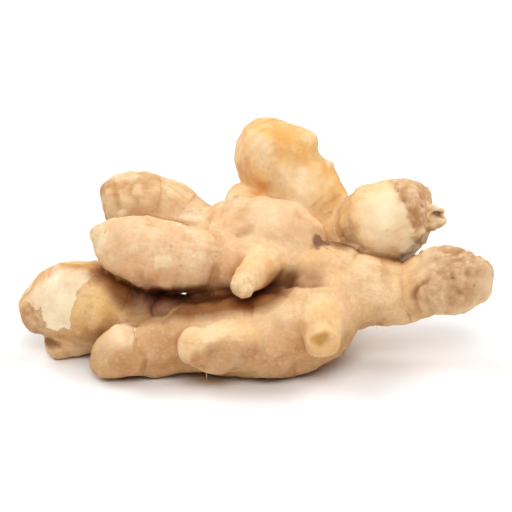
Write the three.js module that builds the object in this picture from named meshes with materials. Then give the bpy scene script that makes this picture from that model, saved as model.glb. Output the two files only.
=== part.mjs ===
// A ginger root: one hand of ginger, as dug up and broken off, lying on a table.
//
// The root is a single grown piece. It is described here by its fingers, the swollen branches that grow
// out of each other, and each finger by a line through its middle with its thickness along that line.
// A field gives the distance from any point to the skin of all the fingers together, and the closed
// surface where that distance is zero is the root. Where a finger grows out of another the two flow
// together, and where it only lies against one there is a sharp crease.
//
// Millimetres, +X to the right, +Y to the back, +Z up. The origin is on the table, under the middle of
// the root. A row of a finger's line is [x, y, z, radius].

import * as THREE from "three";
import { triTable } from "three/addons/objects/MarchingCubes.js";

// Driving sizes

const CELL = 1.7; // grid step on which the skin is first found
const MOST_TRIANGLES = 11000; // after thinning
const STEPS = 4; // straight pieces in each span of a finger's line
const CREASE = 0.9; // softness where two fingers only touch
const RING_DEPTH = 0.45; // how deep the ring scars lie under the skin between them
const LUMPS = 0.55; // height of the slow swellings that keep a finger from being a plain tube
const EVENNESS = 0.002; // how strongly thinning keeps the triangles of one size
const PRESSED = 0.1; // skin lower than this lies flat on the table
const SKIN_COLOUR = 0xdcb07a;

// The fingers, root end first. flow is how softly the root end joins what was there before it, and ring
// is the distance between the scars of the scale leaves that once ringed the finger. cut is a face where
// the finger was broken or has worn flat, as a point on it and the way it faces.

const FINGERS = [
  {
    name: "long axis, from the right knob through the neck to the left tip",
    flow: 4,
    ring: 9,
    line: [
      [62.3, -6, 27, 8.6],
      [58, -5, 26.2, 10.2],
      [51.5, -3, 24, 9.5],
      [45, -1, 20.2, 8.6],
      [37, 0, 20.8, 10.8],
      [28.5, 1, 21.6, 11.2],
      [20.5, 2, 24.6, 10.6],
      [11.5, 2.4, 28.6, 8.1],
      [0, -0.4, 29.6, 7.9],
      [-11, -2, 30.4, 9],
      [-20.5, -3, 32.2, 9.9],
      [-30, -3.4, 33.9, 10.5],
      [-36.4, -2.6, 35.2, 9.4],
      [-41, -2.6, 37.3, 7],
    ],
    cut: { at: [60, -14.4, 26], facing: [0.2, -0.95, 0.1], soft: 3 },
  },
  {
    name: "nub at the left tip of the long axis",
    flow: 2.5,
    ring: 20,
    line: [
      [-40, -2.6, 36.8, 6.4],
      [-45.6, -3.2, 39.8, 3.4],
    ],
  },
  {
    name: "heart of the root, where the branches meet",
    flow: 6,
    ring: 14,
    line: [
      [21, 4, 22.6, 10.6],
      [19, 16, 22.6, 12],
    ],
  },
  {
    name: "front finger",
    flow: 4,
    ring: 11,
    line: [
      [25, -1, 19.4, 10],
      [16, -11, 14, 12.2],
      [4, -14.8, 12.2, 12.3],
      [-8, -14, 12.3, 11.8],
      [-19, -14, 11, 10],
      [-29.5, -15, 9.2, 8.6],
      [-38.4, -17, 8, 7.8],
      [-43, -18, 6.4, 6],
    ],
  },
  {
    name: "worn branch on the front finger",
    flow: 4,
    ring: 8,
    line: [
      [6, -16, 11.6, 8.6],
      [-4, -22, 12.2, 8],
      [-12, -26, 13.2, 7.2],
      [-16.4, -27, 14.2, 6.2],
    ],
    cut: { at: [-8, -30.2, 12], facing: [0.26, -0.93, -0.26], soft: 1 },
  },
  {
    name: "stub with the hollow end",
    flow: 5,
    ring: 18,
    line: [
      [15.6, -8.6, 18.4, 8.6],
      [17.6, -17, 18.2, 7.1],
      [19.6, -28.6, 16, 4.8],
    ],
    cut: { at: [19.6, -30.4, 15.8], facing: [0.08, -0.96, -0.27], soft: 2.5 },
  },
  {
    name: "short bud under the long axis",
    flow: 4.5,
    ring: 30,
    line: [
      [4, -1, 31, 7],
      [0.4, -11, 31.6, 5.3],
      [-3.8, -18.8, 29.6, 3.3],
    ],
    cut: { at: [-4.6, -21.4, 29], facing: [-0.34, -0.92, -0.2], soft: 1.2 },
  },
  {
    name: "left lobe",
    flow: 3,
    ring: 10,
    line: [
      [9, -3, 17, 7.4],
      [-6, -3, 16.2, 8],
      [-14.6, -3, 14.6, 7.9],
      [-19.6, -4, 11.5, 7.6],
      [-25.4, -4, 12, 8.8],
      [-36, 0, 12.7, 12.2],
      [-48.4, 2, 15.4, 13.6],
      [-57.5, 2, 16.2, 11.8],
      [-62.5, 1, 15.8, 8.6],
      [-66.6, -1.4, 13.8, 5],
    ],
  },
  {
    name: "foot of the left lobe",
    flow: 2,
    ring: 6,
    line: [
      [-53.5, 0, 8.8, 7.5],
      [-58.8, -2, 5, 5.4],
    ],
  },
  {
    name: "web between the left lobe and the front finger",
    flow: 5,
    ring: 10,
    line: [
      [-16, -9, 8.4, 6.4],
      [-30, -9.8, 9.8, 7.6],
      [-40, -5, 12, 8],
      [-52, 0, 14, 8],
    ],
  },
  {
    name: "dark bud in the gap",
    flow: 1.5,
    ring: 5,
    line: [
      [-24, -9, 15, 4.6],
      [-27.4, -11.6, 19, 3.7],
    ],
  },
  {
    name: "middle dome",
    flow: 5,
    ring: 6,
    line: [
      [-8, 15, 31.4, 11.4],
      [2, 11, 32.8, 13.8],
      [10, 8, 32.4, 11.6],
      [14.8, 5.6, 31, 8],
      [19, 3.4, 30, 4.4],
    ],
  },
  {
    name: "back left finger",
    flow: 5,
    ring: 9,
    line: [
      [-6.5, 18, 31.6, 9],
      [-17.5, 22, 32.6, 8.8],
      [-27.5, 25, 37.4, 9.8],
      [-36, 25, 40.4, 9.8],
      [-41.5, 24, 40.2, 9],
    ],
    cut: { at: [-48.2, 24, 41.6], facing: [-0.95, -0.2, -0.2], soft: 2 },
  },
  {
    name: "top finger",
    flow: 2.5,
    ring: 13,
    line: [
      [23, 22, 28.6, 9.5],
      [19.4, 25, 37, 11.2],
      [14.5, 26.2, 44, 11.9],
      [11.4, 26.4, 47.6, 11],
    ],
  },
  {
    name: "end of the top finger, above its fold",
    flow: 3.5,
    ring: 13,
    line: [
      [11.6, 28.6, 46, 10.8],
      [7.8, 29.6, 51.4, 12.8],
      [5, 29.2, 55.4, 11.8],
    ],
    cut: { at: [6, 29, 65.6], facing: [0.12, 0, 0.99], soft: 4 },
  },
  {
    name: "torn corner of the top finger",
    flow: 3,
    ring: 20,
    line: [
      [9, 27.4, 56.2, 9.6],
      [15.8, 26, 59.4, 3.6],
    ],
  },
  {
    name: "shoulder behind the dome",
    flow: 3,
    ring: 9,
    line: [
      [2, 22, 36.8, 10],
      [-3.2, 26, 39.2, 7.2],
    ],
  },
  {
    name: "right lobe",
    flow: 3,
    ring: 15,
    line: [
      [23, 22, 28.6, 9.5],
      [30.6, 19, 31.4, 10.6],
      [38.5, 14, 37, 13],
      [44.2, 12, 40, 11],
      [48.2, 11.5, 40.6, 10],
    ],
    cut: { at: [52.2, 11.5, 36.6], facing: [0.97, -0.24, 0.08], soft: 4 },
  },
  {
    name: "upper splinter of the right lobe's stem",
    flow: 1,
    ring: 20,
    line: [
      [49.6, 11, 43, 3],
      [55.6, 9.4, 43.2, 1.5],
    ],
  },
  {
    name: "lower splinter of the right lobe's stem",
    flow: 1,
    ring: 20,
    line: [
      [49.6, 10.6, 38.8, 3.2],
      [56.2, 9, 40.2, 1.6],
    ],
  },
  {
    name: "back foot, hidden from the front",
    flow: 5,
    ring: 8,
    line: [
      [18, 18, 20.6, 10],
      [14, 27, 13.4, 9],
      [11, 31, 7.6, 8],
    ],
  },
];

// Hollows, as [x, y, z, radius] of a ball pressed into the skin.

const HOLLOWS = [
  [19.4, -32.2, 17.2, 3],
];
const HOLLOW_EDGE = 0.8;

// A curve through the rows of a finger's line, cut into short straight pieces.

function between(a, b, c, d, t) {
  return b + 0.5 * t * (c - a + t * (2 * a - 5 * b + 4 * c - d + t * (3 * (b - c) + d - a)));
}

function smoothLine(rows) {
  const points = [];
  for (let i = 0; i + 1 < rows.length; i++) {
    const [a, b, c, d] = [rows[Math.max(i - 1, 0)], rows[i], rows[i + 1], rows[Math.min(i + 2, rows.length - 1)]];
    for (let s = 0; s < STEPS; s++) {
      points.push(a.map((_, axis) => between(a[axis], b[axis], c[axis], d[axis], s / STEPS)));
    }
  }
  points.push(rows[rows.length - 1]);
  return points;
}

for (const finger of FINGERS) {
  const points = smoothLine(finger.line);
  let run = 0;
  finger.pieces = points.slice(1).map((b, i) => {
    const a = points[i];
    const reach = [b[0] - a[0], b[1] - a[1], b[2] - a[2]];
    const length = Math.hypot(...reach);
    run += length;
    return { a, reach, grow: b[3] - a[3], length, start: run - length };
  });
  finger.length = run;
}

// Slow swellings, the same all through space, so that they need no table.

function lumps(x, y, z) {
  return (
    Math.sin(0.31 * x + 0.17 * y + 1.3) * Math.sin(0.27 * y - 0.22 * z + 0.4) +
    0.6 * Math.sin(0.49 * z + 0.21 * x + 2.1) * Math.sin(0.43 * x - 0.36 * y + 0.9)
  );
}

function smoothMinimum(a, b, softness) {
  const share = Math.max(softness - Math.abs(a - b), 0) / softness;
  return Math.min(a, b) - share * share * softness * 0.25;
}

function smoothMaximum(a, b, softness) {
  return -smoothMinimum(-a, -b, softness);
}

// Distance from a point to a finger's skin, and how far along the finger the point lies.

function toFinger(finger, x, y, z) {
  let best = Infinity;
  let along = 0;
  for (const piece of finger.pieces) {
    const { a, reach, grow, length, start } = piece;
    const px = x - a[0];
    const py = y - a[1];
    const pz = z - a[2];
    const dot = (px * reach[0] + py * reach[1] + pz * reach[2]) / (length * length);
    const share = Math.min(Math.max(dot, 0), 1);
    const [dx, dy, dz] = [px - share * reach[0], py - share * reach[1], pz - share * reach[2]];
    const gap = Math.sqrt(dx * dx + dy * dy + dz * dz) - a[3] - share * grow;
    if (gap < best) {
      best = gap;
      along = start + share * length;
    }
  }
  return [best, along];
}

// Distance from a point to the skin of the whole root, below zero inside it.

function skin(x, y, z) {
  let distance = Infinity;
  const wave = 0.9 * Math.sin(0.35 * x + 0.4 * y - 0.3 * z);
  for (const finger of FINGERS) {
    const [gap, along] = toFinger(finger, x, y, z);
    const ring = Math.sqrt(Math.abs(Math.sin((Math.PI * (along + wave)) / finger.ring)));
    let own = gap + RING_DEPTH * (0.8 - ring);
    if (finger.cut) {
      const { at, facing, soft } = finger.cut;
      const over = (x - at[0]) * facing[0] + (y - at[1]) * facing[1] + (z - at[2]) * facing[2];
      own = smoothMaximum(own, over, soft);
    }
    const rootShare = Math.min(along / (0.45 * finger.length), 1);
    const softness = CREASE + (finger.flow - CREASE) * (1 - rootShare * rootShare * (3 - 2 * rootShare));
    distance = distance === Infinity ? own : smoothMinimum(distance, own, softness);
  }
  for (const [cx, cy, cz, radius] of HOLLOWS) {
    distance = smoothMaximum(distance, radius - Math.hypot(x - cx, y - cy, z - cz), HOLLOW_EDGE);
  }
  return distance - LUMPS * lumps(x, y, z);
}

// A point moved onto the skin, along the way the distance changes fastest.

function ontoSkin(point) {
  const step = 0.02;
  for (let turn = 0; turn < 2; turn++) {
    const [x, y, z] = point;
    const here = skin(x, y, z);
    const slope = [skin(x + step, y, z) - here, skin(x, y + step, z) - here, skin(x, y, z + step) - here];
    const steep = slope.reduce((sum, s) => sum + (s / step) ** 2, 0);
    const move = Math.min(Math.max(here / Math.max(steep, 0.3), -1), 1);
    point = point.map((v, axis) => v - (move * slope[axis]) / step);
  }
  return point;
}

// The skin as triangles, by marching cubes. A block of the grid whose middle is far from the skin is
// filled with the distance there and not looked into further.

const CORNERS = [
  [0, 0, 0],
  [1, 0, 0],
  [1, 1, 0],
  [0, 1, 0],
  [0, 0, 1],
  [1, 0, 1],
  [1, 1, 1],
  [0, 1, 1],
];
const EDGES = [
  [0, 1],
  [1, 2],
  [3, 2],
  [0, 3],
  [4, 5],
  [5, 6],
  [7, 6],
  [4, 7],
  [0, 4],
  [1, 5],
  [2, 6],
  [3, 7],
];
const BLOCK = 4;
const NEAREST = 0.06; // share of a cell between a vertex and a corner of the grid

function march(low, high) {
  const size = high.map((h, i) => BLOCK * Math.ceil((h - low[i]) / CELL / BLOCK));
  const at = (i, j, k) => (k * size[1] + j) * size[0] + i;
  const skinAt = (i, j, k) => skin(low[0] + i * CELL, low[1] + j * CELL, low[2] + k * CELL);
  const field = new Float64Array(size[0] * size[1] * size[2]);
  const half = (BLOCK - 1) / 2;
  const far = 1.4 * Math.sqrt(3) * (half + 1) * CELL;
  for (let k = 0; k < size[2]; k += BLOCK)
    for (let j = 0; j < size[1]; j += BLOCK)
      for (let i = 0; i < size[0]; i += BLOCK) {
        const middle = skinAt(i + half, j + half, k + half);
        for (let n = 0; n < BLOCK ** 3; n++) {
          const spot = [i + (n % BLOCK), j + (Math.floor(n / BLOCK) % BLOCK), k + Math.floor(n / BLOCK ** 2)];
          field[at(...spot)] = Math.abs(middle) > far ? middle : skinAt(...spot);
        }
      }

  const vertices = [];
  const triangles = [];
  const known = new Map();
  const vertexOn = (cell, edge) => {
    const [p, q] = EDGES[edge].map((c) => CORNERS[c].map((o, axis) => cell[axis] + o));
    const [pi, qi] = [at(...p), at(...q)];
    const key = pi * field.length + qi;
    if (!known.has(key)) {
      const share = Math.min(Math.max(field[pi] / (field[pi] - field[qi]), NEAREST), 1 - NEAREST);
      known.set(key, vertices.length);
      vertices.push(p.map((v, axis) => low[axis] + CELL * (v + share * (q[axis] - v))));
    }
    return known.get(key);
  };
  for (let k = 0; k + 1 < size[2]; k++)
    for (let j = 0; j + 1 < size[1]; j++)
      for (let i = 0; i + 1 < size[0]; i++) {
        let inside = 0;
        for (let bit = 0; bit < 8; bit++) {
          const [x, y, z] = CORNERS[bit];
          if (field[at(i + x, j + y, k + z)] < 0) inside |= 1 << bit;
        }
        for (let n = inside * 16; triTable[n] !== -1; n += 3) {
          triangles.push([0, 2, 1].map((c) => vertexOn([i, j, k], triTable[n + c])));
        }
      }
  return { vertices, triangles };
}

// Thinning. Each vertex remembers the planes of the triangles round it, as the ten numbers of a
// symmetric form, and an edge is cheap to shrink to a point where that point stays close to the planes
// of both its ends.

const cross = (u, v) => [u[1] * v[2] - u[2] * v[1], u[2] * v[0] - u[0] * v[2], u[0] * v[1] - u[1] * v[0]];
const minus = (u, v) => [u[0] - v[0], u[1] - v[1], u[2] - v[2]];
const dot = (u, v) => u[0] * v[0] + u[1] * v[1] + u[2] * v[2];
const normalOf = (a, b, c) => cross(minus(b, a), minus(c, a));

function planeForm(a, b, c) {
  const n = normalOf(a, b, c);
  const size = Math.hypot(...n) || 1;
  const [p, q, r] = n.map((v) => v / size);
  const s = -dot([p, q, r], a);
  return [p * p, p * q, p * r, p * s, q * q, q * r, q * s, r * r, r * s, s * s].map((v) => v * size);
}

function cost(f, [x, y, z]) {
  return (
    f[0] * x * x + 2 * f[1] * x * y + 2 * f[2] * x * z + 2 * f[3] * x + f[4] * y * y +
    2 * f[5] * y * z + 2 * f[6] * y + f[7] * z * z + 2 * f[8] * z + f[9]
  );
}

function bestPoint(f, a, b) {
  const middle = a.map((v, i) => (v + b[i]) / 2);
  const weight = 1e-3 * (f[0] + f[4] + f[7]);
  const rows = [
    [f[0] + weight, f[1], f[2]],
    [f[1], f[4] + weight, f[5]],
    [f[2], f[5], f[7] + weight],
  ];
  const right = [weight * middle[0] - f[3], weight * middle[1] - f[6], weight * middle[2] - f[8]];
  const whole = dot(rows[0], cross(rows[1], rows[2]));
  const point = [
    dot(right, cross(rows[1], rows[2])) / whole,
    dot(rows[0], cross(right, rows[2])) / whole,
    dot(rows[0], cross(rows[1], right)) / whole,
  ];
  return Math.hypot(...minus(point, middle)) < Math.hypot(...minus(a, b)) ? point : middle;
}

// Edges waiting to be shrunk, cheapest first, in a binary heap.

class Queue {
  items = [];
  push(item) {
    const { items } = this;
    let spot = items.push(item) - 1;
    while (spot > 0) {
      const parent = (spot - 1) >> 1;
      if (items[parent].price <= item.price) break;
      items[spot] = items[parent];
      spot = parent;
    }
    items[spot] = item;
  }
  pop() {
    const { items } = this;
    const first = items[0];
    const item = items.pop();
    if (items.length === 0) return first;
    let spot = 0;
    for (;;) {
      let child = 2 * spot + 1;
      if (child >= items.length) break;
      if (child + 1 < items.length && items[child + 1].price < items[child].price) child++;
      if (items[child].price >= item.price) break;
      items[spot] = items[child];
      spot = child;
    }
    items[spot] = item;
    return first;
  }
}

function thin({ vertices, triangles }, most) {
  const forms = vertices.map(() => new Array(10).fill(0));
  const around = vertices.map(() => new Set());
  triangles.forEach((corners, face) => {
    const form = planeForm(...corners.map((v) => vertices[v]));
    for (const v of corners) {
      around[v].add(face);
      form.forEach((value, i) => (forms[v][i] += value));
    }
  });
  const neighbours = (v) => {
    const found = new Set();
    for (const face of around[v]) for (const other of triangles[face]) if (other !== v) found.add(other);
    return found;
  };
  const changed = new Int32Array(vertices.length);
  const queue = new Queue();
  const offer = (a, b) => {
    const form = forms[a].map((value, i) => value + forms[b][i]);
    const point = bestPoint(form, vertices[a], vertices[b]);
    const apart = Math.hypot(...minus(vertices[a], vertices[b]));
    queue.push({ a, b, point, price: cost(form, point) + EVENNESS * apart ** 3, when: changed[a] + changed[b] });
  };
  vertices.forEach((_, v) => neighbours(v).forEach((other) => v < other && offer(v, other)));

  let left = triangles.length;
  while (left > most && queue.items.length) {
    const { a, b, point, when } = queue.pop();
    if (!around[a].size || !around[b].size || when !== changed[a] + changed[b]) continue;
    const [nearA, nearB] = [neighbours(a), neighbours(b)];
    if (!nearA.has(b) || [...nearA].filter((v) => nearB.has(v)).length !== 2) continue;
    const target = ontoSkin(point);
    const kept = [...around[a], ...around[b]].filter((f) => !(around[a].has(f) && around[b].has(f)));
    const turnsOver = kept.some((face) => {
      const before = triangles[face].map((v) => vertices[v]);
      const after = triangles[face].map((v) => (v === a || v === b ? target : vertices[v]));
      const [n, m] = [normalOf(...before), normalOf(...after)];
      const longest = Math.max(...after.map((p, i) => Math.hypot(...minus(p, after[(i + 1) % 3]))));
      const size = Math.hypot(...m);
      return dot(n, m) < 0.5 * Math.hypot(...n) * size || size < 0.12 * longest * longest;
    });
    if (turnsOver) continue;
    for (const face of [...around[b]]) {
      if (around[a].has(face)) {
        triangles[face].forEach((v) => around[v].delete(face));
        left--;
      } else {
        triangles[face] = triangles[face].map((v) => (v === b ? a : v));
        around[a].add(face);
      }
    }
    around[b].clear();
    vertices[a] = target;
    forms[a] = forms[a].map((value, i) => value + forms[b][i]);
    changed[a] += changed[b] + 1;
    neighbours(a).forEach((other) => {
      changed[other]++;
    });
    neighbours(a).forEach((other) => neighbours(other).forEach((next) => offer(other, next)));
  }

  const renumber = new Map();
  const faces = new Set(around.flatMap((own) => [...own]));
  const corners = [...faces].flatMap((face) => triangles[face]);
  corners.forEach((v) => renumber.has(v) || renumber.set(v, renumber.size));
  return {
    vertices: [...renumber.keys()].map((v) => vertices[v]),
    corners: corners.map((v) => renumber.get(v)),
  };
}

// Three contact spots, where the root's own weight presses it flat on the table.

const root = thin(march([-76, -38, -3], [76, 46, 76]), MOST_TRIANGLES);
const pressed = root.vertices.map(([x, y, z]) => [x, y, z < PRESSED ? 0 : z]);

const geometry = new THREE.BufferGeometry();
geometry.setAttribute("position", new THREE.Float32BufferAttribute(pressed.flat(), 3));
geometry.setIndex(root.corners);
geometry.computeBoundingBox();
const { min, max } = geometry.boundingBox;
geometry.translate(-(min.x + max.x) / 2, -(min.y + max.y) / 2, 0);
geometry.computeVertexNormals();

const rhizome = new THREE.Mesh(
  geometry,
  new THREE.MeshStandardMaterial({ color: SKIN_COLOUR, roughness: 0.6, metalness: 0 }),
);
rhizome.name = "rhizome";

const ginger = new THREE.Group();
ginger.add(rhizome);

export default ginger;
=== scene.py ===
# %% [markdown]
# A fresh ginger root, made finer than its CAD solid. The real root is one grown body: swollen fingers
# that branch out of each other, thin papery skin with ring scars where scale leaves sat, pale patches
# where that skin has rubbed off, and corky or torn ends where fingers were broken away.
#
# The CAD model gives the frame, the size and the form. This script keeps that form and adds what eleven
# thousand triangles can't hold.

import math

import bmesh
import bpy
import numpy as np
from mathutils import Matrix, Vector


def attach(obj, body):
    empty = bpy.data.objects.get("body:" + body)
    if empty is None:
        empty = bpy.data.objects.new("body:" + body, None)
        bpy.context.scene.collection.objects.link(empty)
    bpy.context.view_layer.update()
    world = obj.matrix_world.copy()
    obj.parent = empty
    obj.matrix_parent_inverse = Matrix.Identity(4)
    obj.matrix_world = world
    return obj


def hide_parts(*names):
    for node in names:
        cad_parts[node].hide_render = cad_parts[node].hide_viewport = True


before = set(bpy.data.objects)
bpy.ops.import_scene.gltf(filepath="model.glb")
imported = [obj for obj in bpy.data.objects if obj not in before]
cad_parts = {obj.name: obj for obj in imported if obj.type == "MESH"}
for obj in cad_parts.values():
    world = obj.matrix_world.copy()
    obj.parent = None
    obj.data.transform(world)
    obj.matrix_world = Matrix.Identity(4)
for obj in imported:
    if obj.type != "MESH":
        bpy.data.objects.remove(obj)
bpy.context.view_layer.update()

# %% [markdown]
# The fingers are described as in the CAD source: a line of points with a thickness at each, so that the
# fine surface can be found from the same formula. A subdivided CAD mesh would stay lumpy in the creases,
# where two fingers meet in a line sharper than the CAD triangles are wide. Rows are in millimetres, in a
# frame whose origin lies MIDDLE away from the root's own.

# %% The fingers
MIDDLE = np.array([-0.6094, 4.3241, 0.0])
STEPS = 4  # pieces between two points of a finger's line
CREASE = 0.9  # softness where two fingers only touch, in millimetres
RING_DEPTH = 0.45  # depth of a ring scar
FLOW_REACH = 0.45  # share of its length over which a finger flows out of the one it grew from
LUMPS = 0.55  # height of the slow lumps
FAR = 9.0  # beyond this distance a finger's box stands in for it
UPRIGHT = 0.75  # a steeper finger is measured round from the y axis, not from the z axis

FINGERS = [
    dict(name="long axis, from the right knob through the neck to the left tip", flow=4, ring=9,
         line=[(62.3, -6, 27, 8.6), (58, -5, 26.2, 10.2), (51.5, -3, 24, 9.5), (45, -1, 20.2, 8.6),
               (37, 0, 20.8, 10.8), (28.5, 1, 21.6, 11.2), (20.5, 2, 24.6, 10.6), (11.5, 2.4, 28.6, 8.1),
               (0, -0.4, 29.6, 7.9), (-11, -2, 30.4, 9), (-20.5, -3, 32.2, 9.9), (-30, -3.4, 33.9, 10.5),
               (-36.4, -2.6, 35.2, 9.4), (-41, -2.6, 37.3, 7)],
         cut=dict(at=(60, -14.4, 26), facing=(0.2, -0.95, 0.1), soft=3)),
    dict(name="nub at the left tip of the long axis", flow=2.5, ring=20,
         line=[(-40, -2.6, 36.8, 6.4), (-45.6, -3.2, 39.8, 3.4)]),
    dict(name="heart of the root, where the branches meet", flow=6, ring=14,
         line=[(21, 4, 22.6, 10.6), (19, 16, 22.6, 12)]),
    dict(name="front finger", flow=4, ring=11,
         line=[(25, -1, 19.4, 10), (16, -11, 14, 12.2), (4, -14.8, 12.2, 12.3), (-8, -14, 12.3, 11.8),
               (-19, -14, 11, 10), (-29.5, -15, 9.2, 8.6), (-38.4, -17, 8, 7.8), (-43, -18, 6.4, 6)]),
    dict(name="worn branch on the front finger", flow=4, ring=8,
         line=[(6, -16, 11.6, 8.6), (-4, -22, 12.2, 8), (-12, -26, 13.2, 7.2), (-16.4, -27, 14.2, 6.2)],
         cut=dict(at=(-8, -30.2, 12), facing=(0.26, -0.93, -0.26), soft=1)),
    dict(name="stub with the hollow end", flow=5, ring=18,
         line=[(15.6, -8.6, 18.4, 8.6), (17.6, -17, 18.2, 7.1), (19.6, -28.6, 16, 4.8)],
         cut=dict(at=(19.6, -30.4, 15.8), facing=(0.08, -0.96, -0.27), soft=2.5)),
    dict(name="short bud under the long axis", flow=4.5, ring=30,
         line=[(4, -1, 31, 7), (0.4, -11, 31.6, 5.3), (-3.8, -18.8, 29.6, 3.3)],
         cut=dict(at=(-4.6, -21.4, 29), facing=(-0.34, -0.92, -0.2), soft=1.2)),
    dict(name="left lobe", flow=3, ring=10,
         line=[(9, -3, 17, 7.4), (-6, -3, 16.2, 8), (-14.6, -3, 14.6, 7.9), (-19.6, -4, 11.5, 7.6),
               (-25.4, -4, 12, 8.8), (-36, 0, 12.7, 12.2), (-48.4, 2, 15.4, 13.6), (-57.5, 2, 16.2, 11.8),
               (-62.5, 1, 15.8, 8.6), (-66.6, -1.4, 13.8, 5)]),
    dict(name="foot of the left lobe", flow=2, ring=6,
         line=[(-53.5, 0, 8.8, 7.5), (-58.8, -2, 5, 5.4)]),
    dict(name="web between the left lobe and the front finger", flow=5, ring=10,
         line=[(-16, -9, 8.4, 6.4), (-30, -9.8, 9.8, 7.6), (-40, -5, 12, 8), (-52, 0, 14, 8)]),
    dict(name="dark bud in the gap", flow=1.5, ring=5,
         line=[(-24, -9, 15, 4.6), (-27.4, -11.6, 19, 3.7)]),
    dict(name="middle dome", flow=5, ring=6,
         line=[(-8, 15, 31.4, 11.4), (2, 11, 32.8, 13.8), (10, 8, 32.4, 11.6), (14.8, 5.6, 31, 8),
               (19, 3.4, 30, 4.4)]),
    dict(name="back left finger", flow=5, ring=9,
         line=[(-6.5, 18, 31.6, 9), (-17.5, 22, 32.6, 8.8), (-27.5, 25, 37.4, 9.8),
               (-36, 25, 40.4, 9.8), (-41.5, 24, 40.2, 9)],
         cut=dict(at=(-48.2, 24, 41.6), facing=(-0.95, -0.2, -0.2), soft=2)),
    dict(name="top finger", flow=2.5, ring=13,
         line=[(23, 22, 28.6, 9.5), (19.4, 25, 37, 11.2), (14.5, 26.2, 44, 11.9), (11.4, 26.4, 47.6, 11)]),
    dict(name="end of the top finger, above its fold", flow=3.5, ring=13,
         line=[(11.6, 28.6, 46, 10.8), (7.8, 29.6, 51.4, 12.8), (5, 29.2, 55.4, 11.8)],
         cut=dict(at=(6, 29, 65.6), facing=(0.12, 0, 0.99), soft=4)),
    dict(name="torn corner of the top finger", flow=3, ring=20,
         line=[(9, 27.4, 56.2, 9.6), (15.8, 26, 59.4, 3.6)]),
    dict(name="shoulder behind the dome", flow=3, ring=9,
         line=[(2, 22, 36.8, 10), (-3.2, 26, 39.2, 7.2)]),
    dict(name="right lobe", flow=3, ring=15,
         line=[(23, 22, 28.6, 9.5), (30.6, 19, 31.4, 10.6), (38.5, 14, 37, 13),
               (44.2, 12, 40, 11), (48.2, 11.5, 40.6, 10)],
         cut=dict(at=(52.2, 11.5, 36.6), facing=(0.97, -0.24, 0.08), soft=4)),
    dict(name="upper splinter of the right lobe's stem", flow=1, ring=20,
         line=[(49.6, 11, 43, 3), (55.6, 9.4, 43.2, 1.5)]),
    dict(name="lower splinter of the right lobe's stem", flow=1, ring=20,
         line=[(49.6, 10.6, 38.8, 3.2), (56.2, 9, 40.2, 1.6)]),
    dict(name="back foot, hidden from the front", flow=5, ring=8,
         line=[(18, 18, 20.6, 10), (14, 27, 13.4, 9), (11, 31, 7.6, 8)]),
]
HOLLOWS = [(19.4, -32.2, 17.2, 3)]
HOLLOW_EDGE = 0.8
NAMES = {finger["name"]: index for index, finger in enumerate(FINGERS)}
print(len(FINGERS), "fingers")


# %% [markdown]
# The skin is where a distance is zero. For a finger the distance is measured to its line, less the
# thickness there; fingers are joined with a smooth minimum, which flows where one grows out of another
# and creases where they only touch. The same walk along the line also says how far along a finger and
# how far round it each point lies, and the painting and the fine relief need both.


# %% The distance to the skin
def smooth_line(rows):
    """A line of points with the corners between them rounded."""
    rows = np.array(rows, float)
    points = []
    for i in range(len(rows) - 1):
        a, b, c, d = rows[max(i - 1, 0)], rows[i], rows[i + 1], rows[min(i + 2, len(rows) - 1)]
        for step in range(STEPS):
            t = step / STEPS
            points.append(b + 0.5 * t * (c - a + t * (2 * a - 5 * b + 4 * c - d + t * (3 * (b - c) + d - a))))
    return np.array(points + [rows[-1]])


def smooth_minimum(a, b, softness):
    """The smaller of two distances, blended where they are nearly equal."""
    share = np.maximum(softness - np.abs(a - b), 0) / softness
    return np.minimum(a, b) - share * share * softness * 0.25


def smooth_maximum(a, b, softness):
    return -smooth_minimum(-a, -b, softness)


def smoothstep(low, high, value):
    """0 at low, 1 at high, with a soft start and end."""
    t = np.clip((value - low) / (high - low), 0, 1)
    return t * t * (3 - 2 * t)


for finger in FINGERS:
    points = smooth_line(finger["line"])
    reach = points[1:, :3] - points[:-1, :3]
    length = np.linalg.norm(reach, axis=1)
    finger["points"] = points
    finger["reach"] = reach
    finger["piece_length"] = length
    finger["start"] = np.concatenate([[0], np.cumsum(length)[:-1]])
    finger["length"] = length.sum()
    finger["low"] = (points[:, :3] - points[:, 3:]).min(0)
    finger["high"] = (points[:, :3] + points[:, 3:]).max(0)
    whole = points[-1, :3] - points[0, :3]
    upright = abs(whole[2]) > UPRIGHT * np.linalg.norm(whole)
    finger["up"] = np.array([0, 1.0, 0]) if upright else np.array([0, 0, 1.0])


def lumps(x, y, z):
    """Slow waves over the whole root, so that no finger is quite round."""
    slow = np.sin(0.31 * x + 0.17 * y + 1.3) * np.sin(0.27 * y - 0.22 * z + 0.4)
    quick = np.sin(0.49 * z + 0.21 * x + 2.1) * np.sin(0.43 * x - 0.36 * y + 0.9)
    return slow + 0.6 * quick


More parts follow.
